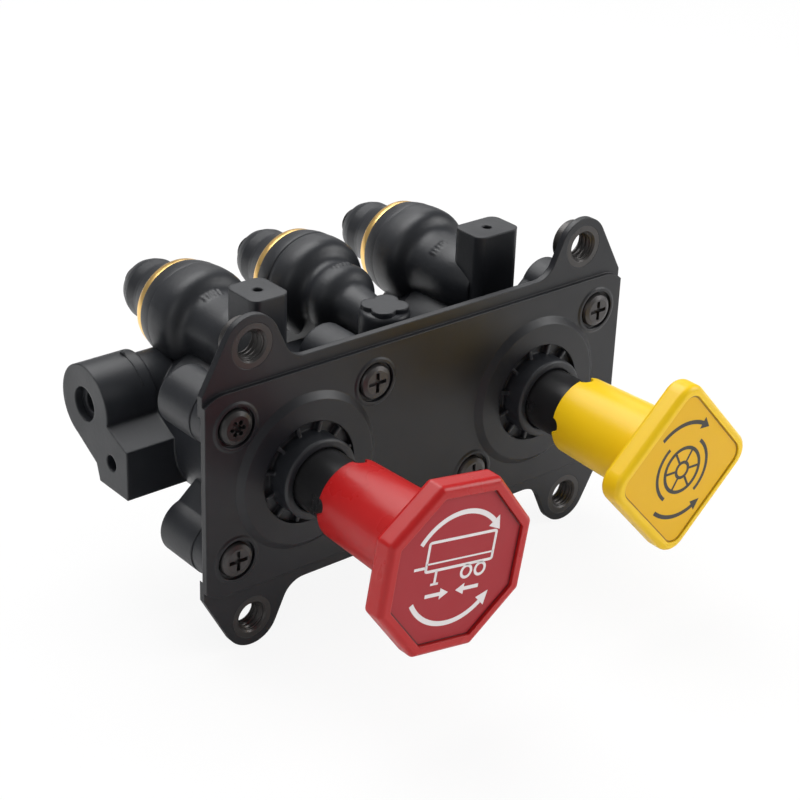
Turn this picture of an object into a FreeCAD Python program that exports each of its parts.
import FreeCAD, Part
import math
import os

import Sketcher

# Air brake dash control valve: a two-knob push-pull valve on a pressed steel panel plate.
# Row frame: X to the right along the plate, Y into the dash, Z up, in millimetres.
# The origin is the centre of the four tab holes, on the plane of the raised front face.

SIZES = {
    # mounting plate
    "gauge": 1.9,
    "strip_setback": 1.2,
    "plate_half_width": 70.4,
    "plate_half_height": 32.2,
    "raised_half_height": 28.8,
    "raised_corner": 9.0,
    "raised_corner_reach": 6.2,
    "tab_edge": 14.85,
    "tab_hole_z": 38.9,
    "tab_tip": 8.2,
    "tab_inner_angle": 155.0,
    "tab_outer_angle": 29.0,
    "tab_foot_z": 29.0,
    "tab_valley_setback": 12.15,
    "tab_valley_round": 7.0,
    "plateau_base": 22.0,
    "plateau_top": 20.2,
    "plateau_height": 1.5,
    "plateau_wall": 1.1,
    "guide_hole": 14.2,
    # plate screws and their places
    "screw_edge": 9.1,
    "screw_mid_x": 17.6,
    "screw_z": 18.9,
    "screw_head": 4.8,
    "screw_head_height": 1.9,
    "screw_shank": 2.4,
    "screw_length": 19.0,
    "screw_play": 0.2,
    "pocket_play": 0.8,
    "pocket_depth": 0.9,
    "rim_width": 1.3,
    "rim_height": 0.3,
    "recess_width": 1.1,
    "recess_span": 5.6,
    "recess_depth": 1.2,
    # threaded bushes in the tabs
    "bush_radius": 6.0,
    "bush_bore": 3.97,
    "bush_length": 5.8,
    "bush_lead": 0.5,
    # plunger, its guide and its piston
    "plunger_edge": 30.95,
    "shaft": 8.6,
    "shaft_play": 0.08,
    "fit_gap": 0.1,
    "collar_radius": 11.2,
    "collar_reach": 6.5,
    "flange_radius": 19.0,
    "flange_depth": 3.0,
    "guide_tube": 16.0,
    "guide_end": 16.0,
    "rib_width": 0.9,
    "rib_height": 1.7,
    "shaft_seal_wire": 0.9,
    "shaft_seal_y": 11.5,
    "piston": 11.92,
    "piston_play": 0.08,
    "piston_length": 10.0,
    "piston_seal_wire": 1.0,
    "piston_land": 2.0,
    "nose_stub": 5.5,
    "nose_stub_length": 5.0,
    "barrel_floor": 46.0,
    "spring_wire": 0.8,
    "spring_radius": 8.0,
    "spring_turns": 4.0,
    # knobs
    "stem_rear": 19.0,
    "stem_rear_radius": 11.0,
    "stem_front_radius": 12.2,
    "notch": 2.1,
    "head_depth": 6.5,
    "head_round": 1.6,
    "knob_socket": 12.0,
    "red_face": 59.5,
    "red_across": 44.5,
    "red_corner": 1.5,
    "red_turn": 9.5,
    "red_label_across": 38.5,
    "red_label_corner": 0.6,
    "red_recess": 1.3,
    "yellow_face": 57.0,
    "yellow_across": 37.2,
    "yellow_turn": 2.5,
    "yellow_corner": 5.8,
    "yellow_label_across": 32.3,
    "yellow_label_corner": 3.9,
    "yellow_recess": 0.9,
    "label_thick": 0.5,
    "label_play": 0.1,
    "pin_radius": 1.5,
    "pin_inset": 0.8,
    "pin_top": 6.0,
    "pin_setback": 20.0,
    # moulded body and its front cover
    "cover_back": 8.5,
    "cover_boss": 7.9,
    "boss_radius": 8.1,
    "boss_back": 22.5,
    "web_half": 7.4,
    "barrel": 20.0,
    "shoulder_front": 42.0,
    "shoulder_edge": 45.4,
    "shoulder_radius": 18.6,
    "barrel_end_radius": 15.0,
    "barrel_end": 55.6,
    "bridge_half": 12.0,
    "bridge_back": 44.0,
    "side_port_x": 74.0,
    "side_port_y": 50.5,
    "side_port_z": 8.2,
    "side_port_radius": 10.9,
    "side_port_end": 58.5,
    "side_neck_radius": 9.3,
    "side_neck_end": 50.0,
    "side_bore": 4.8,
    "side_bore_depth": 2.2,
    "side_hole": 2.7,
    "side_insert_length": 10.0,
    "block_front": 30.5,
    "block_back": 44.0,
    "block_bottom": 11.7,
    "block_top": 3.6,
    "block_web": 1.5,
    "block_hole": 2.3,
    "block_hole_depth": 10.0,
    "block_hole_y": 38.0,
    "block_hole_z": 3.9,
    "left_post_y": 21.5,
    "left_post_width": 11.5,
    "left_post_depth": 13.0,
    "left_post_top": 42.5,
    "right_post_y": 23.0,
    "right_post_width": 15.0,
    "right_post_depth": 11.5,
    "right_post_top": 41.1,
    "post_round": 2.6,
    "post_hole": 1.3,
    "post_hole_depth": 6.0,
    "clover_y": 18.5,
    "clover_top": 29.5,
    "clover_lobe": 3.3,
    "clover_offset": 3.2,
    "arm_radius": 5.3,
    # tube fittings at the rear
    "fitting_inset": 1.45,
    "fitting_z": 24.0,
    "spigot": 9.4,
    "spigot_front": 36.0,
    "spigot_end": 55.0,
    "lip_front": 44.7,
    "lip_radius": 14.3,
    "lip_round": 3.4,
    "lip_depth": 1.1,
    "seam_y": 52.7,
    "seam_depth": 0.4,
    "arm_flare": 7.6,
    "ring_front": 57.0,
    "ring_front_radius": 13.5,
    "ring_rear": 60.0,
    "ring_rear_radius": 12.1,
    "nose_waist": 8.8,
    "nose_end": 78.6,
    "nose_end_radius": 5.4,
    "tube": 3.22,
    "tube_stop": 47.0,
    "air_way": 2.4,
    "supply_way_y": 41.0,
    "supply_way_z": 6.0,
    "tube_seal_wire": 0.95,
    "grab_radius": 7.5,
    "grab_thick": 0.5,
    "sleeve_wall": 0.5,
    "sleeve_play": 0.08,
    "sleeve_travel": 1.2,
    "sleeve_lip": 0.8,
    # exhaust port below the body
    "exhaust_y": 30.0,
    "exhaust_radius": 11.5,
    "exhaust_bottom": 27.0,
    "exhaust_bore": 8.5,
    "exhaust_cap_depth": 3.0,
    "exhaust_flap": 1.2,
}


class Size:
    """A number together with the spreadsheet formula that gives it."""

    def __init__(self, value, text):
        self.value = value
        self.text = text

    def __add__(self, other):
        return combine(self, "+", other)

    def __radd__(self, other):
        return combine(other, "+", self)

    def __sub__(self, other):
        return combine(self, "-", other)

    def __rsub__(self, other):
        return combine(other, "-", self)

    def __mul__(self, other):
        return combine(self, "*", other)

    def __rmul__(self, other):
        return combine(other, "*", self)

    def __truediv__(self, other):
        return combine(self, "/", other)

    def __neg__(self):
        return combine(0, "-", self)


def as_size(value):
    return value if isinstance(value, Size) else Size(value, str(value))


def combine(first, sign, second):
    first = as_size(first)
    second = as_size(second)
    values = {
        "+": first.value + second.value,
        "-": first.value - second.value,
        "*": first.value * second.value,
        "/": first.value / second.value if second.value else 0.0,
    }
    return Size(values[sign], f"({first.text} {sign} {second.text})")


def cosine(angle):
    angle = as_size(angle)
    return Size(math.cos(math.radians(angle.value)), f"cos({angle.text})")


def sine(angle):
    angle = as_size(angle)
    return Size(math.sin(math.radians(angle.value)), f"sin({angle.text})")


def slope_angle(rise, run):
    ratio = as_size(rise) / run
    return Size(math.degrees(math.atan(ratio.value)), f"(atan({ratio.text}) / 1 deg)")


doc = FreeCAD.newDocument("DashValve")
sheet = doc.addObject("Spreadsheet::Sheet", "Sizes")
for row, (alias, value) in enumerate(SIZES.items(), start=1):
    sheet.set(f"A{row}", alias)
    sheet.set(f"B{row}", str(value))
    sheet.setAlias(f"B{row}", alias)
doc.recompute()


class Dimensions:
    """Each alias of the spreadsheet as a Size."""

    def __init__(self):
        for name in SIZES:
            setattr(self, name, Size(float(sheet.get(name)), f"Sizes.{name}"))


dim = Dimensions()
dim.tab_hole_x = dim.plate_half_width - dim.tab_edge
dim.tab_valley_x = dim.tab_hole_x - dim.tab_valley_setback
dim.screw_x = dim.plate_half_width - dim.screw_edge
dim.plunger_x = dim.plate_half_width - dim.plunger_edge
dim.fitting_x = dim.plunger_x - dim.fitting_inset

TURNS = {
    "x": FreeCAD.Rotation(FreeCAD.Vector(0, 1, 0), 90),
    "y": FreeCAD.Rotation(FreeCAD.Vector(1, 0, 0), -90),
    "z": FreeCAD.Rotation(),
}
PLANES = {"x": "YZ_Plane", "y": "XZ_Plane", "z": "XY_Plane"}
nodes = []


def drive(thing, path, size):
    """Set one property and bind it to its formula in the spreadsheet."""
    size = as_size(size)
    if "." not in path:
        setattr(thing, path, size.value)
    thing.setExpression(path, size.text)


def place(thing, spot, turn=None):
    """Put an object at a spot given by three sizes, with an optional rotation."""
    sizes = [as_size(value) for value in spot]
    turn = turn or FreeCAD.Rotation()
    thing.Placement = FreeCAD.Placement(FreeCAD.Vector(*[size.value for size in sizes]), turn)
    for letter, size in zip("xyz", sizes):
        thing.setExpression(f"Placement.Base.{letter}", size.text)
    return thing


def node(thing, label):
    """Mark an object as one of the part's pieces, named as its file."""
    thing.Label = label
    nodes.append(thing)
    return thing


def rod(axis, radius, start, length, centre):
    """Cylinder along an axis: centre gives the two other coordinates in order."""
    thing = doc.addObject("Part::Cylinder", "Rod")
    drive(thing, "Radius", radius)
    drive(thing, "Height", length)
    spot = {"x": (start, *centre), "y": (centre[0], start, centre[1]), "z": (*centre, start)}[axis]
    return place(thing, spot, TURNS[axis])


def block(corner, lengths):
    thing = doc.addObject("Part::Box", "Block")
    for name, size in zip(("Length", "Width", "Height"), lengths):
        drive(thing, name, size)
    return place(thing, corner)


def join(shapes):
    thing = doc.addObject("Part::MultiFuse", "Join")
    thing.Shapes = shapes
    doc.recompute()
    return thing


def cut(base, tools):
    thing = doc.addObject("Part::Cut", "Cut")
    thing.Base = base
    thing.Tool = tools[0] if len(tools) == 1 else join(tools)
    doc.recompute()
    return thing


def new_body(name):
    return doc.addObject("PartDesign::Body", name)


def origin_plane(body, role):
    return next(item for item in body.Origin.OriginFeatures if item.Role == role)


def sketch_on(body, axis, offset=0):
    """Sketch square to an axis of the body, offset along the sketch's own normal."""
    sketch = body.newObject("Sketcher::SketchObject", "Profile")
    sketch.AttachmentSupport = [(origin_plane(body, PLANES[axis]), "")]
    sketch.MapMode = "FlatFace"
    offset = as_size(offset)
    sketch.AttachmentOffset = FreeCAD.Placement(FreeCAD.Vector(0, 0, offset.value), FreeCAD.Rotation())
    sketch.setExpression("AttachmentOffset.Base.z", offset.text)
    return sketch


def pin_point(sketch, item, end, point):
    """Hold one point of a sketch at two driven distances from the sketch's origin."""
    for kind, size in zip(("DistanceX", "DistanceY"), point):
        size = as_size(size)
        number = sketch.addConstraint(Sketcher.Constraint(kind, -1, 1, item, end, size.value))
        sketch.setExpression(f"Constraints[{number}]", size.text)


def draw_loop(sketch, points, arcs=None):
    """Closed outline through points; arcs gives {side: (radius, centre)} for its round sides."""
    arcs = arcs or {}
    spots = [FreeCAD.Vector(as_size(x).value, as_size(y).value, 0) for x, y in points]
    first = sketch.GeometryCount
    count = len(points)
    for side in range(count):
        start = spots[side]
        finish = spots[(side + 1) % count]
        if side in arcs:
            radius, centre = arcs[side]
            middle = FreeCAD.Vector(as_size(centre[0]).value, as_size(centre[1]).value, 0)
            half = (start + finish) / 2 - middle
            half.normalize()
            crown = middle + half * as_size(radius).value
            turning_left = (crown - start).cross(finish - crown).z > 0
            circle = Part.Circle(middle, FreeCAD.Vector(0, 0, 1), as_size(radius).value)
            ends = (circle.parameter(start), circle.parameter(finish))
            ends = ends if turning_left else ends[::-1]
            sketch.addGeometry(Part.ArcOfCircle(circle, *ends), False)
            arcs[side] = (radius, centre, turning_left)
        else:
            sketch.addGeometry(Part.LineSegment(start, finish), False)

    def end_of(side, at_start):
        if side in arcs and not arcs[side][2]:
            return 2 if at_start else 1
        return 1 if at_start else 2

    for side in range(count):
        after = (side + 1) % count
        sketch.addConstraint(Sketcher.Constraint(
            "Coincident", first + side, end_of(side, False), first + after, end_of(after, True)))
        pin_point(sketch, first + side, end_of(side, True), points[side])
    for side in arcs:
        radius = as_size(arcs[side][0])
        number = sketch.addConstraint(Sketcher.Constraint("Radius", first + side, radius.value))
        sketch.setExpression(f"Constraints[{number}]", radius.text)


def draw_circle(sketch, centre, radius):
    radius = as_size(radius)
    spot = FreeCAD.Vector(as_size(centre[0]).value, as_size(centre[1]).value, 0)
    item = sketch.addGeometry(Part.Circle(spot, FreeCAD.Vector(0, 0, 1), radius.value), False)
    pin_point(sketch, item, 3, centre)
    number = sketch.addConstraint(Sketcher.Constraint("Radius", item, radius.value))
    sketch.setExpression(f"Constraints[{number}]", radius.text)


def pad(body, sketch, length, back=False):
    """Pad a sketch along its normal, or against it when back is set."""
    feature = body.newObject("PartDesign::Pad", "Pad")
    feature.Profile = sketch
    drive(feature, "Length", length)
    feature.Reversed = back
    doc.recompute()
    return feature


def raise_cone(body, spot, base, top, height):
    """Add a flat cone that stands forward of the body's XZ plane."""
    feature = body.newObject("PartDesign::AdditiveCone", "Cone")
    feature.AttachmentSupport = [(origin_plane(body, PLANES["y"]), "")]
    feature.MapMode = "FlatFace"
    drive(feature, "Radius1", base)
    drive(feature, "Radius2", top)
    drive(feature, "Height", height)
    sizes = [as_size(value) for value in spot]
    feature.AttachmentOffset = FreeCAD.Placement(
        FreeCAD.Vector(sizes[0].value, sizes[1].value, 0), FreeCAD.Rotation())
    for letter, size in zip("xy", sizes):
        feature.setExpression(f"AttachmentOffset.Base.{letter}", size.text)
    doc.recompute()
    return feature


def pocket(body, sketch, length, back=False):
    """Cut a sketch's outline into the body; back cuts along the sketch's normal."""
    before = body.Shape.Volume
    feature = body.newObject("PartDesign::Pocket", "Pocket")
    feature.Profile = sketch
    drive(feature, "Length", length)
    feature.Reversed = back
    doc.recompute()
    if body.Shape.Volume > before - 1e-6:
        raise ValueError("a pocket cut nothing")
    return feature


def edges_where(shape, test):
    return [f"Edge{number}" for number, edge in enumerate(shape.Edges, start=1) if test(edge)]


def round_edges(body, test, radius):
    """Fillet those edges of the body's last feature that pass a test."""
    base = body.Tip
    feature = body.newObject("PartDesign::Fillet", "Round")
    feature.Base = (base, edges_where(base.Shape, test))
    drive(feature, "Radius", radius)
    doc.recompute()
    return feature


def turned(name, profile, spot):
    """Body of revolution round a line along Y; profile holds (radius, y) pairs."""
    body = new_body(name)
    sketch = sketch_on(body, "z")
    draw_loop(sketch, profile)
    revolution = body.newObject("PartDesign::Revolution", "Turn")
    revolution.Profile = sketch
    revolution.ReferenceAxis = (sketch, ["V_Axis"])
    revolution.Angle = 360
    place(body, (spot[0], 0, spot[1]))
    doc.recompute()
    return body


def group(label, shapes):
    """One node of several separate solids, set out from shapes already built."""
    thing = doc.addObject("Part::Feature", label)
    thing.Shape = Part.Compound(shapes)
    return node(thing, label)


def ring_of(section_radius, mean_radius, y, spot):
    """Seal ring of six-sided section, turned round a line along Y."""
    profile = []
    for corner in range(6):
        angle = 60 * corner
        profile.append((mean_radius + section_radius * cosine(angle),
                        y + section_radius * sine(angle)))
    return turned("SealRing", profile, spot)


def is_along_y(edge):
    ends = edge.BoundBox
    return ends.YLength > 0.5 and ends.XLength < 1e-4 and ends.ZLength < 1e-4


def screw_spots():
    """Places of the six plate screws: the first is the black one at the upper left."""
    outer = [(side * dim.screw_x, end * dim.screw_z) for side in (-1, 1) for end in (1, -1)]
    return outer + [(-dim.screw_mid_x, dim.screw_z), (1 * dim.screw_mid_x, -dim.screw_z)]


def plunger_spots():
    return {"left": (-dim.plunger_x, 0), "right": (1 * dim.plunger_x, 0)}


def build_mounting_plate():
    """Pressed sheet: strips and tabs set back, raised middle, plateaus, screw pockets."""
    body = new_body("MountingPlate")
    half_width = dim.plate_half_width
    half_height = dim.plate_half_height
    slope = sine(dim.tab_outer_angle) / cosine(dim.tab_outer_angle)
    corner_x = half_width - (half_height - dim.tab_foot_z) * slope
    strips = sketch_on(body, "y", -dim.strip_setback)
    draw_loop(strips, [
        (-half_width, -dim.tab_foot_z),
        (-corner_x, -half_height),
        (corner_x, -half_height),
        (half_width, -dim.tab_foot_z),
        (half_width, dim.tab_foot_z),
        (corner_x, half_height),
        (-corner_x, half_height),
        (-half_width, dim.tab_foot_z),
    ])
    pad(body, strips, dim.gauge, back=True)
    for side in (-1, 1):
        for end in (-1, 1):
            add_tab(body, side, end)

    inset = dim.gauge
    middle = sketch_on(body, "y", -dim.strip_setback)
    draw_loop(middle, *raised_outline(inset))
    pocket(body, middle, dim.gauge, back=False)
    raised = sketch_on(body, "y")
    draw_loop(raised, *raised_outline(0))
    pad(body, raised, dim.gauge, back=True)

    for spot in plunger_spots().values():
        add_plateau(body, spot)
    for spot in screw_spots():
        rim = dim.screw_head + dim.pocket_play + dim.rim_width
        raise_cone(body, spot, rim, rim - dim.rim_width / 2, dim.rim_height)
        well = sketch_on(body, "y", dim.rim_height)
        draw_circle(well, spot, dim.screw_head + dim.pocket_play)
        pocket(body, well, dim.rim_height + dim.pocket_depth)
        hole = sketch_on(body, "y")
        draw_circle(hole, spot, dim.screw_shank + dim.screw_play)
        pocket(body, hole, dim.gauge)
    for side in (-1, 1):
        for end in (-1, 1):
            hole = sketch_on(body, "y")
            draw_circle(hole, (side * dim.tab_hole_x, end * dim.tab_hole_z), dim.bush_radius)
            pocket(body, hole, dim.strip_setback + dim.gauge)

    def in_valley(edge):
        middle = edge.BoundBox.Center
        return (is_along_y(edge) and abs(abs(middle.x) - dim.tab_valley_x.value) < 0.01
                and abs(abs(middle.z) - dim.plate_half_height.value) < 0.01)

    round_edges(body, in_valley, dim.tab_valley_round)
    return node(body, "mounting_plate")


def raised_outline(inset):
    """Outline of the raised middle, running off the side edges with round shoulders."""
    half_width = dim.plate_half_width
    top = dim.raised_half_height - inset
    radius = dim.raised_corner - inset
    centre_x = half_width - dim.raised_corner_reach
    centre_z = dim.raised_half_height - dim.raised_corner
    drop = Size(
        math.sqrt(radius.value ** 2 - dim.raised_corner_reach.value ** 2),
        f"sqrt({radius.text} ^ 2 - {dim.raised_corner_reach.text} ^ 2)",
    )
    side_z = centre_z + drop
    points = [
        (centre_x, top),
        (half_width, side_z),
        (half_width, -side_z),
        (centre_x, -top),
        (-centre_x, -top),
        (-half_width, -side_z),
        (-half_width, side_z),
        (-centre_x, top),
    ]
    arcs = {
        0: (radius, (centre_x, centre_z)),
        2: (radius, (centre_x, -centre_z)),
        4: (radius, (-centre_x, -centre_z)),
        6: (radius, (-centre_x, centre_z)),
    }
    return points, arcs


def add_tab(body, side, end):
    """One tab: a round tip about the bush, an inner side and the long outer slope."""
    def tip_point(angle):
        return (side * (dim.tab_hole_x + dim.tab_tip * cosine(angle)),
                end * (dim.tab_hole_z + dim.tab_tip * sine(angle)))

    tip = sketch_on(body, "y", -dim.strip_setback)
    draw_circle(tip, (side * dim.tab_hole_x, end * dim.tab_hole_z), dim.tab_tip)
    flank = sketch_on(body, "y", -dim.strip_setback)
    root_z = end * dim.screw_z
    draw_loop(flank, [
        (side * dim.tab_valley_x, end * dim.plate_half_height),
        tip_point(dim.tab_inner_angle),
        tip_point(dim.tab_outer_angle),
        (side * dim.plate_half_width, end * dim.tab_foot_z),
        (side * dim.plate_half_width, root_z),
        (side * dim.tab_valley_x, root_z),
    ])
    pad(body, flank, dim.gauge, back=True)
    pad(body, tip, dim.gauge, back=True)


def add_plateau(body, spot):
    """Round plateau about a plunger, hollow behind, with the guide's hole."""
    rise = dim.plateau_height
    raise_cone(body, spot, dim.plateau_base, dim.plateau_top, rise)
    hollow = sketch_on(body, "y", -dim.gauge)
    draw_circle(hollow, spot, dim.plateau_top - dim.plateau_wall)
    pocket(body, hollow, rise, back=True)
    hole = sketch_on(body, "y", rise)
    draw_circle(hole, spot, dim.guide_hole)
    pocket(body, hole, dim.gauge + rise)



def build_bushes():
    """Threaded bushes pressed into the tabs, flush in front and standing out behind."""
    front = 1 * dim.strip_setback
    back = front + dim.bush_length
    lead = dim.bush_lead
    bush = turned("Bush", [
        (dim.bush_bore, front + lead),
        (dim.bush_bore + lead, front),
        (dim.bush_radius, front),
        (dim.bush_radius, back),
        (dim.bush_bore, back),
    ], (0, 0))
    spots = [(side * dim.tab_hole_x, end * dim.tab_hole_z) for side in (-1, 1) for end in (-1, 1)]
    return group("panel_inserts", [moved_copy(bush, spot) for spot in spots])


def moved_copy(thing, spot):
    """Copy of a built shape, moved in the XZ plane to a spot."""
    shape = thing.Shape.copy()
    shape.translate(FreeCAD.Vector(as_size(spot[0]).value, 0, as_size(spot[1]).value))
    return shape


def build_screws():
    """Pan-head screws in their pockets: five with a cross recess, one with a six-lobe recess."""
    seat = 1 * dim.pocket_depth
    top = seat - dim.screw_head_height
    head = dim.screw_head
    blank = turned("Screw", [
        (0, top),
        (head * 0.7, top),
        (head * 0.93, top + dim.screw_head_height * 0.25),
        (head, top + dim.screw_head_height * 0.6),
        (head, seat),
        (dim.screw_shank, seat),
        (dim.screw_shank, seat + dim.screw_length),
        (0, seat + dim.screw_length + dim.screw_shank / 2),
    ], (0, 0))
    deep = dim.recess_depth
    bars = []
    for length, width in ((dim.recess_span, dim.recess_width), (dim.recess_width, dim.recess_span)):
        bars.append(block((-length / 2, top - deep, -width / 2), (length, 2 * deep, width)))
    cross = cut(blank, bars)
    star_rods = [rod("y", dim.recess_width, top - deep, 2 * deep, (0, 0))]
    for point in range(6):
        reach = dim.recess_span * 0.3
        spot = (reach * cosine(60 * point), reach * sine(60 * point))
        star_rods.append(rod("y", dim.recess_width * 0.6, top - deep, 2 * deep, spot))
    star = cut(blank, star_rods)
    spots = screw_spots()
    lock = group("lock_screw", [moved_copy(star, spots[0])])
    return [lock, group("plate_screws", [moved_copy(cross, spot) for spot in spots[1:]])]


def lean_about_y(thing, corner, lean):
    """Place a piece with its length leaning from the X axis up toward Z."""
    place(thing, corner, FreeCAD.Rotation(FreeCAD.Vector(0, 1, 0), -as_size(lean).value))
    thing.setExpression("Placement.Rotation.Angle", (0 - as_size(lean)).text)
    return thing


def flange(start, length, boss):
    """Slice of the moulding shared by cover and body: barrels, bosses, webs and bridge."""
    shapes = []
    for spot in plunger_spots().values():
        shapes.append(rod("y", dim.barrel, start, length, spot))
    for spot in screw_spots():
        shapes.append(rod("y", boss, start, length, spot))
    slope = slope_angle(dim.screw_z, dim.screw_x - dim.plunger_x)
    reach = dim.screw_z / sine(slope)
    half = dim.web_half
    leans = {(1, 1): 0 + slope, (-1, 1): 180 - slope, (-1, -1): 180 + slope, (1, -1): 360 - slope}
    for (side, _), lean in leans.items():
        web = block((0, 0, 0), (reach, length, half * 2))
        corner = (side * dim.plunger_x + half * sine(lean), start, -half * cosine(lean))
        shapes.append(lean_about_y(web, corner, lean))
    for side in (-1, 1):
        foot = 0 if side < 0 else -dim.screw_z
        shapes.append(block((side * dim.screw_mid_x - half, start, foot),
                            (half * 2, length, dim.screw_z)))
    shapes.append(block((-dim.plunger_x, start, -dim.bridge_half),
                        (dim.plunger_x * 2, length, dim.bridge_half * 2)))
    return shapes


def build_front_cover():
    """Slice of the moulding clamped behind the plate; it seats the guides' flanges."""
    start = 1 * dim.gauge
    solid = join(flange(start, dim.cover_back - start, dim.cover_boss))
    tools = []
    for spot in plunger_spots().values():
        tools.append(rod("y", dim.guide_tube + dim.fit_gap, start, dim.cover_back, spot))
        tools.append(rod("y", dim.flange_radius + dim.fit_gap, start - 1,
                         flange_back() - start + 1, spot))
    for spot in screw_spots():
        tools.append(rod("y", dim.screw_shank + dim.screw_play, 0, dim.cover_back * 2, spot))
    return node(cut(solid, tools), "front_cover")


def flange_front():
    """Rear face of the plateau's skin, where the guide's flange bears."""
    return dim.gauge - dim.plateau_height


def flange_back():
    return flange_front() + dim.flange_depth


def build_guide(side, spot):
    """Guide of one plunger: flange, tube, proud collar, seal groove and radial ribs."""
    bore = dim.shaft + dim.shaft_play
    groove = bore + 2 * dim.shaft_seal_wire
    half_groove = dim.shaft_seal_wire + dim.fit_gap
    lead = 0.5
    hub = turned("Hub", [
        (bore, -dim.collar_reach + lead),
        (bore + lead, -dim.collar_reach),
        (dim.collar_radius - lead, -dim.collar_reach),
        (dim.collar_radius, -dim.collar_reach + lead),
        (dim.collar_radius, flange_front()),
        (dim.flange_radius, flange_front()),
        (dim.flange_radius, flange_back()),
        (dim.guide_tube, flange_back()),
        (dim.guide_tube, 1 * dim.guide_end),
        (bore, 1 * dim.guide_end),
        (bore, dim.shaft_seal_y + half_groove),
        (groove, dim.shaft_seal_y + half_groove),
        (groove, dim.shaft_seal_y - half_groove),
        (bore, dim.shaft_seal_y - half_groove),
    ], spot)
    ribs = [hub]
    rib_count = 12
    reach = dim.guide_hole - dim.fit_gap * 3
    for number in range(rib_count):
        angle = 360 / rib_count * (number + 0.5)
        rib = block((0, 0, 0), (reach, dim.rib_height, dim.rib_width))
        half = dim.rib_width / 2
        corner = (spot[0] + half * sine(angle), flange_front() - dim.rib_height,
                  spot[1] - half * cosine(angle))
        ribs.append(lean_about_y(rib, corner, angle))
    clear = rod("y", dim.collar_radius - 1, -dim.collar_reach * 2, dim.collar_reach * 4, spot)
    spokes = cut(join(ribs[1:]), [clear])
    return node(join([hub, spokes]), f"plunger_guide_{side}")


def piston_front():
    return dim.guide_end + dim.fit_gap


def turn_about(thing, spot, angle):
    """Place a piece on a plunger's axis, turned clockwise as seen from the front."""
    place(thing, (spot[0], 0, spot[1]), FreeCAD.Rotation(FreeCAD.Vector(0, 1, 0), angle.value))
    thing.setExpression("Placement.Rotation.Angle", angle.text)
    return thing


def drill(body, axis, radius, start, length, centre):
    """Cut a round hole along one of the body's own axes."""
    feature = body.newObject("PartDesign::SubtractiveCylinder", "Hole")
    feature.AttachmentSupport = [(origin_plane(body, PLANES[axis]), "")]
    feature.MapMode = "FlatFace"
    drive(feature, "Radius", radius)
    drive(feature, "Height", length)
    sizes = [as_size(value) for value in (*centre, start)]
    feature.AttachmentOffset = FreeCAD.Placement(
        FreeCAD.Vector(*[size.value for size in sizes]), FreeCAD.Rotation())
    for letter, size in zip("xyz", sizes):
        feature.setExpression(f"AttachmentOffset.Base.{letter}", size.text)
    doc.recompute()
    return feature


def build_plunger(side, spot, face, turn):
    """Shaft and piston in one: two seal grooves and a stub that centres the spring."""
    end = face - dim.knob_socket - dim.fit_gap
    start = piston_front()
    finish = start + dim.piston_length
    groove = dim.piston + dim.piston_play - 2 * dim.piston_seal_wire - dim.fit_gap / 2
    half = dim.piston_seal_wire + dim.fit_gap
    lead = 0.6
    profile = [
        (0, -end),
        (dim.shaft - lead, -end),
        (dim.shaft, -end + lead),
        (dim.shaft, start),
        (dim.piston, start),
    ]
    for middle in piston_seal_places():
        profile += [
            (dim.piston, middle - half),
            (groove, middle - half),
            (groove, middle + half),
            (dim.piston, middle + half),
        ]
    profile += [
        (dim.piston, finish),
        (dim.nose_stub, finish),
        (dim.nose_stub, finish + dim.nose_stub_length),
        (0, finish + dim.nose_stub_length),
    ]
    body = turned("Plunger", profile, spot)
    drill(body, "z", dim.pin_radius, -dim.stem_front_radius * 2,
          dim.stem_front_radius * 2 + dim.pin_top, (0, -(face - dim.pin_setback)))
    turn_about(body, spot, turn)
    return node(body, f"plunger_{side}")


def piston_seal_places():
    """Y of the two seal rings, a land away from the piston's ends."""
    start = piston_front()
    inset = dim.piston_land + dim.piston_seal_wire
    return start + inset, start + dim.piston_length - inset


def build_seals(side, spot):
    bore = dim.piston + dim.piston_play
    wire = dim.piston_seal_wire
    rings = [ring_of(wire, bore - wire - dim.shaft_play / 2, y, spot) for y in piston_seal_places()]
    doc.recompute()
    wiper = dim.shaft_seal_wire
    lip = ring_of(wiper, dim.shaft + wiper + dim.shaft_play / 2, 1 * dim.shaft_seal_y, spot)
    doc.recompute()
    return [group(f"piston_seals_{side}", [ring.Shape.copy() for ring in rings]),
            node(lip, f"shaft_seal_{side}")]


def build_spring(side, spot):
    """Return spring between the piston and the floor of the barrel: a ruled coil of wire."""
    start = (piston_front() + dim.piston_length).value
    wire = dim.spring_wire.value
    radius = dim.spring_radius.value
    rise = dim.barrel_floor.value - start - 2 * wire
    steps = 12
    sides = 6
    rings = []
    for step in range(round(dim.spring_turns.value * steps) + 1):
        angle = 2 * math.pi * step / steps
        share = step / (dim.spring_turns.value * steps)
        outward = FreeCAD.Vector(math.cos(angle), 0, math.sin(angle))
        along = FreeCAD.Vector(-math.sin(angle), 0, math.cos(angle))
        along *= 2 * math.pi * radius * dim.spring_turns.value
        along.y = rise
        along.normalize()
        across = along.cross(outward)
        middle = outward * radius + FreeCAD.Vector(0, wire + rise * share, 0)
        ring = []
        for side_number in range(sides + 1):
            turn = 2 * math.pi * side_number / sides
            ring.append(middle + outward * (wire * math.cos(turn)) + across * (wire * math.sin(turn)))
        rings.append(Part.makePolygon(ring))
    coil = Part.makeLoft(rings, True, True)
    thing = doc.addObject("Part::Feature", "Spring")
    thing.Shape = coil
    place(thing, (spot[0], start, spot[1]))
    return node(thing, f"return_spring_{side}")


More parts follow.
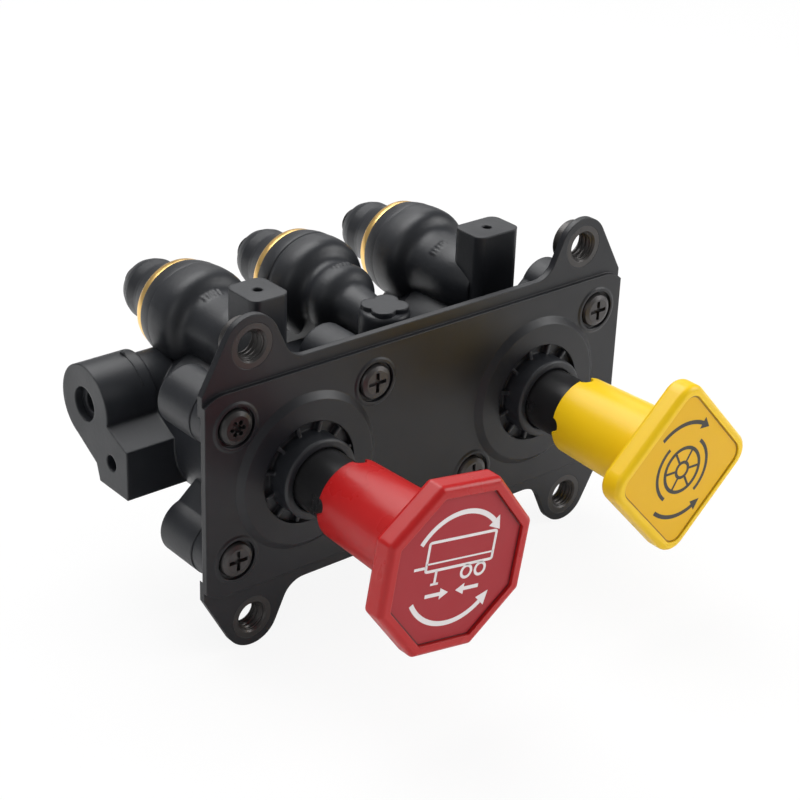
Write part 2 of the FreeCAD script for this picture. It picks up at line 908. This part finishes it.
def rounded_polygon(sides, across, corner, first_angle):
    """Regular outline with round corners, as points and arcs for draw_loop."""
    half_turn = 180 / sides
    circum = across / 2 / cosine(half_turn)
    points = []
    arcs = {}
    for number in range(sides):
        angle = first_angle + 2 * half_turn * number
        reach = circum - corner / cosine(half_turn)
        centre = (reach * cosine(angle), reach * sine(angle))
        arcs[len(points)] = (corner, centre)
        for edge_angle in (angle - half_turn, angle + half_turn):
            points.append((centre[0] + corner * cosine(edge_angle),
                           centre[1] + corner * sine(edge_angle)))
    return points, arcs


KNOBS = {
    "red": {
        "side": "left", "face": dim.red_face, "sides": 8, "first_angle": 22.5,
        "across": dim.red_across, "corner": dim.red_corner, "turn": dim.red_turn,
        "label_across": dim.red_label_across, "label_corner": dim.red_label_corner,
        "recess": dim.red_recess,
    },
    "yellow": {
        "side": "right", "face": dim.yellow_face, "sides": 4, "first_angle": 0,
        "across": dim.yellow_across, "corner": dim.yellow_corner, "turn": dim.yellow_turn,
        "label_across": dim.yellow_label_across, "label_corner": dim.yellow_label_corner,
        "recess": dim.yellow_recess,
    },
}


def build_knob(colour, knob, spot):
    """Knob with a flat head, a tapered hollow stem and four notches in the stem's end."""
    body = new_body(f"Knob{colour.title()}")
    face = knob["face"]
    back = face - dim.head_depth
    head = sketch_on(body, "y", face)
    draw_loop(head, *rounded_polygon(knob["sides"], knob["across"], knob["corner"],
                                     knob["first_angle"]))
    pad(body, head, dim.head_depth, back=True)

    def on_rims(edge):
        box = edge.BoundBox
        return box.YLength < 1e-4

    round_edges(body, on_rims, dim.head_round)
    stem = body.newObject("PartDesign::AdditiveCone", "Stem")
    stem.AttachmentSupport = [(origin_plane(body, PLANES["y"]), "")]
    stem.MapMode = "FlatFace"
    drive(stem, "Radius1", dim.stem_rear_radius)
    drive(stem, "Radius2", dim.stem_front_radius)
    drive(stem, "Height", back + dim.head_round - dim.stem_rear)
    stem.AttachmentOffset = FreeCAD.Placement(
        FreeCAD.Vector(0, 0, dim.stem_rear.value), FreeCAD.Rotation())
    stem.setExpression("AttachmentOffset.Base.z", dim.stem_rear.text)
    doc.recompute()
    drill(body, "y", dim.shaft + dim.fit_gap, 1 * dim.stem_rear,
          face - dim.knob_socket - dim.stem_rear, (0, 0))
    reach = dim.stem_rear_radius + 1
    drill(body, "x", dim.notch, -reach, reach * 2, (-dim.stem_rear, 0))
    drill(body, "z", dim.notch, -reach, reach * 2, (0, -dim.stem_rear))
    drill(body, "z", dim.pin_radius, -dim.stem_front_radius * 2, dim.stem_front_radius * 2 - 5,
          (0, -(face - dim.pin_setback)))
    seat = sketch_on(body, "y", face)
    draw_loop(seat, *rounded_polygon(knob["sides"], knob["label_across"],
                                     knob["label_corner"], knob["first_angle"]))
    pocket(body, seat, knob["recess"])
    turn_about(body, spot, knob["turn"])
    return node(body, f"knob_{colour}")


def build_label(colour, knob, spot):
    """Thin insert in the knob's face, a little below the rim."""
    body = new_body(f"Label{colour.title()}")
    plate_sketch = sketch_on(body, "y", knob["face"] - knob["recess"])
    draw_loop(plate_sketch, *rounded_polygon(
        knob["sides"], knob["label_across"] - 2 * dim.label_play, knob["label_corner"],
        knob["first_angle"]))
    pad(body, plate_sketch, dim.label_thick)
    turn_about(body, spot, knob["turn"])
    return node(body, f"label_{colour}")


def build_pin(colour, knob, spot):
    """Pin that holds the knob on the shaft, driven in from below."""
    body = new_body("Pin")
    round_end = sketch_on(body, "z", dim.pin_top)
    draw_circle(round_end, (0, -(knob["face"] - dim.pin_setback)), dim.pin_radius)
    pad(body, round_end, dim.pin_top + dim.stem_rear_radius - dim.pin_inset, back=True)
    turn_about(body, spot, knob["turn"])
    return node(body, f"knob_pin_{knob['side']}")


def build_barrel(spot):
    """One barrel of the moulding: straight, then a shoulder and a cone to its flat end."""
    return turned("Barrel", [
        (0, 1 * dim.cover_back),
        (dim.barrel, 1 * dim.cover_back),
        (dim.barrel, 1 * dim.shoulder_front),
        (dim.shoulder_radius, 1 * dim.shoulder_edge),
        (dim.barrel_end_radius, 1 * dim.barrel_end),
        (0, 1 * dim.barrel_end),
    ], spot)


def build_socket(name, spot):
    """Fitting boss: a spigot that runs into a wide collar with a round, slightly dished shoulder."""
    front = 1 * dim.spigot_front
    if name == "left":
        front = dim.left_post_y + dim.left_post_depth / 2 - 1
    if name == "right":
        front = dim.right_post_y + dim.right_post_depth / 2 - 1
    dish = dim.lip_front + dim.lip_depth
    bend = dim.lip_round
    profile = [
        (0, front),
        (dim.spigot - bend * 0.8, front),
        (dim.spigot - bend * 0.25, front + bend * 0.22),
        (1 * dim.spigot, front + bend * 0.75),
        (1 * dim.spigot, dish),
        (dim.spigot + dim.lip_depth, dish),
        (dim.lip_radius - bend * 0.75, 1 * dim.lip_front),
        (dim.lip_radius - bend * 0.25, dim.lip_front + bend * 0.3),
        (1 * dim.lip_radius, dim.lip_front + bend),
    ]
    if name == "middle":
        seam = dim.seam_depth
        profile += [
            (1 * dim.lip_radius, dim.seam_y - seam),
            (dim.lip_radius - seam, 1 * dim.seam_y),
            (dim.lip_radius - seam * 0.4, dim.seam_y + seam),
        ]
    profile += [
        (dim.lip_radius - dim.seam_depth * 0.5, 1 * dim.spigot_end),
        (1 * dim.ring_front_radius, 1 * dim.ring_front),
        (0, 1 * dim.ring_front),
    ]
    return turned("Socket", profile, spot)


def build_post(x, y, width, depth, top):
    """Square post with round corners on top of a barrel."""
    box = block((x - width / 2, y - depth / 2, 0), (width, depth, top))
    doc.recompute()
    rounding = doc.addObject("Part::Fillet", "RoundPost")
    rounding.Base = box
    radius = dim.post_round.value
    rounding.Edges = [(number, radius, radius) for number, edge in enumerate(box.Shape.Edges, 1)
                      if edge.BoundBox.ZLength > 1]
    doc.recompute()
    return rounding


def fitting_spots():
    return {"left": (-dim.fitting_x, dim.fitting_z), "middle": (0, dim.fitting_z),
            "right": (1 * dim.fitting_x, dim.fitting_z)}


def build_valve_body():
    """The moulded housing: barrels, bosses, side port, posts, fitting bosses and exhaust."""
    start = 1 * dim.cover_back
    solids = flange(start, dim.boss_back - start, dim.boss_radius)
    solids.append(block((-dim.plunger_x, start, -dim.bridge_half),
                        (dim.plunger_x * 2, dim.bridge_back - start, dim.bridge_half * 2)))
    solids += [build_barrel(spot) for spot in plunger_spots().values()]
    solids += [build_socket(name, spot) for name, spot in fitting_spots().items()]
    width = dim.spigot * 1.7
    solids.append(block((-width / 2, dim.spigot_front, 0),
                        (width, dim.spigot_end - dim.spigot_front, dim.fitting_z)))
    solids += side_port_solids()
    solids.append(build_post(-dim.plunger_x, dim.left_post_y, dim.left_post_width,
                             dim.left_post_depth, dim.left_post_top))
    solids.append(build_post(1 * dim.plunger_x, dim.right_post_y, dim.right_post_width,
                             dim.right_post_depth, dim.right_post_top))
    for number in range(4):
        angle = 45 + 90 * number
        spot = (dim.clover_offset * cosine(angle), dim.clover_y + dim.clover_offset * sine(angle))
        solids.append(rod("z", dim.clover_lobe, 0, dim.clover_top, spot))
    solids.append(rod("y", dim.arm_radius, dim.clover_y, dim.spigot_front - dim.clover_y + 1,
                      (0, dim.fitting_z - dim.arm_radius / 5)))
    solids.append(turned("Flare", [
        (0, dim.spigot_front - dim.arm_flare * 0.8),
        (dim.arm_radius * 0.95, dim.spigot_front - dim.arm_flare * 0.8),
        (1 * dim.arm_flare, dim.spigot_front + 1),
        (0, dim.spigot_front + 1),
    ], (0, dim.fitting_z)))
    solids.append(rod("z", dim.exhaust_radius, -dim.exhaust_bottom, dim.exhaust_bottom,
                      (0, dim.exhaust_y)))
    body = join(solids)
    for hollows in (main_hollows(), outer_holes(), air_ways()):
        body = cut(body, hollows)
    return node(body, "valve_body")


def side_port_solids():
    """Side port on the left: round end, its neck to the barrel, and the block below it."""
    centre = (dim.side_port_y, dim.side_port_z)
    port = rod("x", dim.side_port_radius, -dim.side_port_x, dim.side_port_x - dim.side_port_end, centre)
    neck = rod("x", dim.side_neck_radius, -dim.side_port_x + 1,
               dim.side_port_x - dim.side_neck_end - 1, centre)
    body = new_body("PortBlock")
    outline = sketch_on(body, "x", -dim.side_port_x)
    root = (dim.side_port_y - dim.side_port_radius / 2, 1 * dim.side_port_z)
    draw_loop(outline, [
        (1 * dim.block_front, -dim.block_bottom),
        (1 * dim.block_back, -dim.block_bottom),
        (dim.block_back + dim.block_web, -dim.block_bottom * 0.6),
        (dim.side_port_y + dim.side_port_radius * 0.6, dim.side_port_z - dim.side_port_radius * 0.8),
        root,
        (dim.block_front + dim.block_top, 1 * dim.block_top),
        (1 * dim.block_front, dim.block_top * 0.6),
    ])
    pad(body, outline, dim.side_port_x - dim.side_neck_end)
    return [port, neck, body]


def plunger_hollow(spot):
    """Seat of the guide's tube and the piston's bore beyond it."""
    wide = dim.guide_tube + dim.fit_gap
    bore = dim.piston + dim.piston_play
    step = dim.guide_end + dim.fit_gap
    return turned("Bore", [
        (0, 0),
        (wide, 0),
        (wide, step),
        (bore, step),
        (bore, 1 * dim.barrel_floor),
        (0, 1 * dim.barrel_floor),
    ], spot)


def socket_hollow(spot):
    """Air way, tube socket and seal groove of one fitting, open to the rear."""
    groove = dim.tube + 2 * dim.tube_seal_wire + dim.fit_gap
    step = dim.ring_front - seal_room()
    rear = 1 * dim.ring_rear
    return turned("Bore", [
        (0, 1 * dim.supply_way_y),
        (1 * dim.air_way, 1 * dim.supply_way_y),
        (1 * dim.air_way, 1 * dim.tube_stop),
        (1 * dim.tube, 1 * dim.tube_stop),
        (1 * dim.tube, step),
        (groove, step),
        (groove, rear),
        (0, rear),
    ], spot)


def main_hollows():
    """Hollows for the plungers and the plate screws."""
    tools = [plunger_hollow(spot) for spot in plunger_spots().values()]
    for spot in screw_spots():
        tools.append(rod("y", dim.screw_shank + dim.shaft_play, 0,
                         dim.pocket_depth + dim.screw_length + dim.screw_shank, spot))
    return tools


def outer_holes():
    """Tube sockets, the side port, the block's hole, the posts' holes and the exhaust."""
    tools = [socket_hollow(spot) for spot in fitting_spots().values()]
    centre = (dim.side_port_y, dim.side_port_z)
    edge = -dim.side_port_x
    tools.append(rod("x", dim.side_bore, edge - 1, dim.side_bore_depth + dim.side_insert_length + 1, centre))
    tools.append(rod("x", dim.block_hole, edge - 1, dim.block_hole_depth + 1,
                     (1 * dim.block_hole_y, -dim.block_hole_z)))
    for x, y, top in ((-dim.plunger_x, dim.left_post_y, dim.left_post_top),
                      (1 * dim.plunger_x, dim.right_post_y, dim.right_post_top)):
        tools.append(rod("z", dim.post_hole, top - dim.post_hole_depth, dim.post_hole_depth * 2, (x, y)))
    floor = dim.exhaust_cap_depth + dim.exhaust_flap * 2
    tools.append(rod("z", dim.exhaust_bore, -dim.exhaust_bottom - 1, floor + 1, (0, dim.exhaust_y)))
    return tools


def air_ways():
    """Drilled ways that join the bores, the fittings, the side port and the exhaust."""
    tools = []
    for spot in fitting_spots().values():
        tools.append(rod("z", dim.air_way, dim.supply_way_z, dim.fitting_z - dim.supply_way_z,
                         (spot[0], dim.supply_way_y + dim.air_way)))
    crossing = dim.plunger_x - dim.piston + 1
    tools.append(rod("x", dim.air_way, -crossing, crossing * 2, (dim.supply_way_y, dim.supply_way_z)))
    tools.append(rod("x", dim.air_way, -crossing, crossing * 2, (dim.exhaust_y, 0)))
    tools.append(rod("z", dim.exhaust_bore / 2, -dim.exhaust_bottom, dim.exhaust_bottom, (0, dim.exhaust_y)))
    start = dim.side_bore_depth + dim.side_insert_length - dim.side_port_x
    tools.append(rod("x", dim.side_hole, start, -dim.plunger_x - start, (dim.side_port_y, dim.side_port_z)))
    tools.append(rod("y", dim.air_way, dim.barrel_floor - 1, dim.side_port_y - dim.barrel_floor + 1,
                     (-dim.plunger_x, 1 * dim.side_port_z)))
    return tools


def seal_room():
    """Length of the tube seal's groove, open to the rear."""
    return 2 * dim.tube_seal_wire + dim.fit_gap


def build_fitting(name, spot):
    """Loose pieces of one push-in fitting: seal, grab ring, brass ring, nose and sleeve."""
    front = dim.ring_front
    rear = dim.ring_rear
    sleeve = dim.tube + dim.sleeve_wall
    hole = sleeve + dim.sleeve_play
    flare = sleeve + dim.sleeve_lip
    room = flare + dim.fit_gap
    seal = ring_of(dim.tube_seal_wire, dim.tube + dim.tube_seal_wire + dim.fit_gap / 2,
                   front - seal_room() / 2, spot)
    doc.recompute()
    node(seal, f"tube_seal_{name}")
    grab = turned("GrabRing", [
        (dim.tube, 1 * front),
        (dim.grab_radius, 1 * front),
        (dim.grab_radius, front + dim.grab_thick),
        (dim.tube, front + dim.grab_thick),
    ], spot)
    slots = []
    for number in range(4):
        angle = 45 * number
        slot = block((0, 0, 0), (room * 2, dim.grab_thick * 4, dim.grab_thick))
        corner = (spot[0] - room * cosine(angle), front - dim.grab_thick,
                  spot[1] - room * sine(angle))
        slots.append(lean_about_y(slot, corner, angle))
    node(cut(grab, slots), f"grab_ring_{name}")
    node(turned("BrassRing", [
        (dim.grab_radius + dim.fit_gap, 1 * front),
        (dim.ring_front_radius, 1 * front),
        (dim.ring_rear_radius, 1 * rear),
        (room, 1 * rear),
        (room, front + dim.grab_thick + dim.fit_gap),
        (dim.grab_radius + dim.fit_gap, front + dim.grab_thick + dim.fit_gap),
    ], spot), f"fitting_ring_{name}")
    shelf = rear + dim.sleeve_travel + dim.sleeve_lip * 2
    end = dim.nose_end
    wide = dim.ring_rear_radius
    waist = dim.nose_waist
    node(turned("Nose", [
        (room, 1 * rear),
        (1 * wide, 1 * rear),
        ((wide + waist) / 2 + 0.15, rear + 3.6),
        (waist + 0.3, rear + 7.5),
        (1 * waist, rear + 9),
        (1 * waist, end - 6),
        (waist - 0.5, end - 4.2),
        (waist - 1.4, end - 2.2),
        (dim.nose_end_radius + 0.8, end - 0.9),
        (1 * dim.nose_end_radius, 1 * end),
        (hole, 1 * end),
        (hole, shelf),
        (room, shelf),
    ], spot), f"fitting_nose_{name}")
    tip = end + dim.sleeve_travel + dim.fit_gap
    flare_front = front + dim.grab_thick + dim.sleeve_travel + dim.fit_gap * 2
    node(turned("Sleeve", [
        (1 * dim.tube, flare_front),
        (flare, flare_front),
        (flare, shelf - dim.fit_gap),
        (sleeve, shelf - dim.fit_gap),
        (sleeve, tip),
        (sleeve + dim.sleeve_wall, tip),
        (sleeve + dim.sleeve_wall, tip + dim.sleeve_lip),
        (1 * dim.tube, tip + dim.sleeve_lip),
    ], spot), f"release_sleeve_{name}")


def build_side_insert():
    """Seat inside the side port, set back from the port's face."""
    start = -dim.side_port_x + dim.side_bore_depth
    centre = (dim.side_port_y, dim.side_port_z)
    outer = rod("x", dim.side_bore, start, dim.side_insert_length, centre)
    inner = rod("x", dim.side_hole, start - 1, dim.side_insert_length + 2, centre)
    return node(cut(outer, [inner]), "side_port_insert")


def build_exhaust():
    """Exhaust port below: a rubber flap over the outlet and a slotted cap that holds it."""
    bottom = -dim.exhaust_bottom
    spot = (0, 1 * dim.exhaust_y)
    disc = rod("z", dim.exhaust_bore, bottom, dim.exhaust_cap_depth, spot)
    slots = []
    for number in range(3):
        width = dim.exhaust_bore * 0.28
        x = width * 1.7 * (number - 1)
        slots.append(block((x - width / 2, dim.exhaust_y - width * 2, bottom - 1),
                           (width, width * 4, dim.exhaust_cap_depth + 2)))
    node(cut(disc, slots), "exhaust_cap")
    flap = rod("z", dim.exhaust_bore - dim.fit_gap * 3, bottom + dim.exhaust_cap_depth,
               dim.exhaust_flap, spot)
    return node(flap, "exhaust_flap")


def build():
    build_mounting_plate()
    build_bushes()
    build_screws()
    build_front_cover()
    build_valve_body()
    spots = plunger_spots()
    for colour, knob in KNOBS.items():
        side = knob["side"]
        build_guide(side, spots[side])
        build_plunger(side, spots[side], knob["face"], knob["turn"])
        build_seals(side, spots[side])
        build_spring(side, spots[side])
        build_knob(colour, knob, spots[side])
        build_label(colour, knob, spots[side])
        build_pin(colour, knob, spots[side])
    for name, spot in fitting_spots().items():
        build_fitting(name, spot)
    build_side_insert()
    build_exhaust()


build()
doc.recompute()
for thing in doc.Objects:
    if "Invalid" in thing.State or "Error" in thing.State:
        raise ValueError(f"{thing.Label} did not build")
os.makedirs("parts", exist_ok=True)
for piece in nodes:
    if piece.Shape.isNull() or not piece.Shape.isValid():
        raise ValueError(f"{piece.Label} has no valid shape")
    piece.Shape.exportStep(f"parts/{piece.Label}.step")
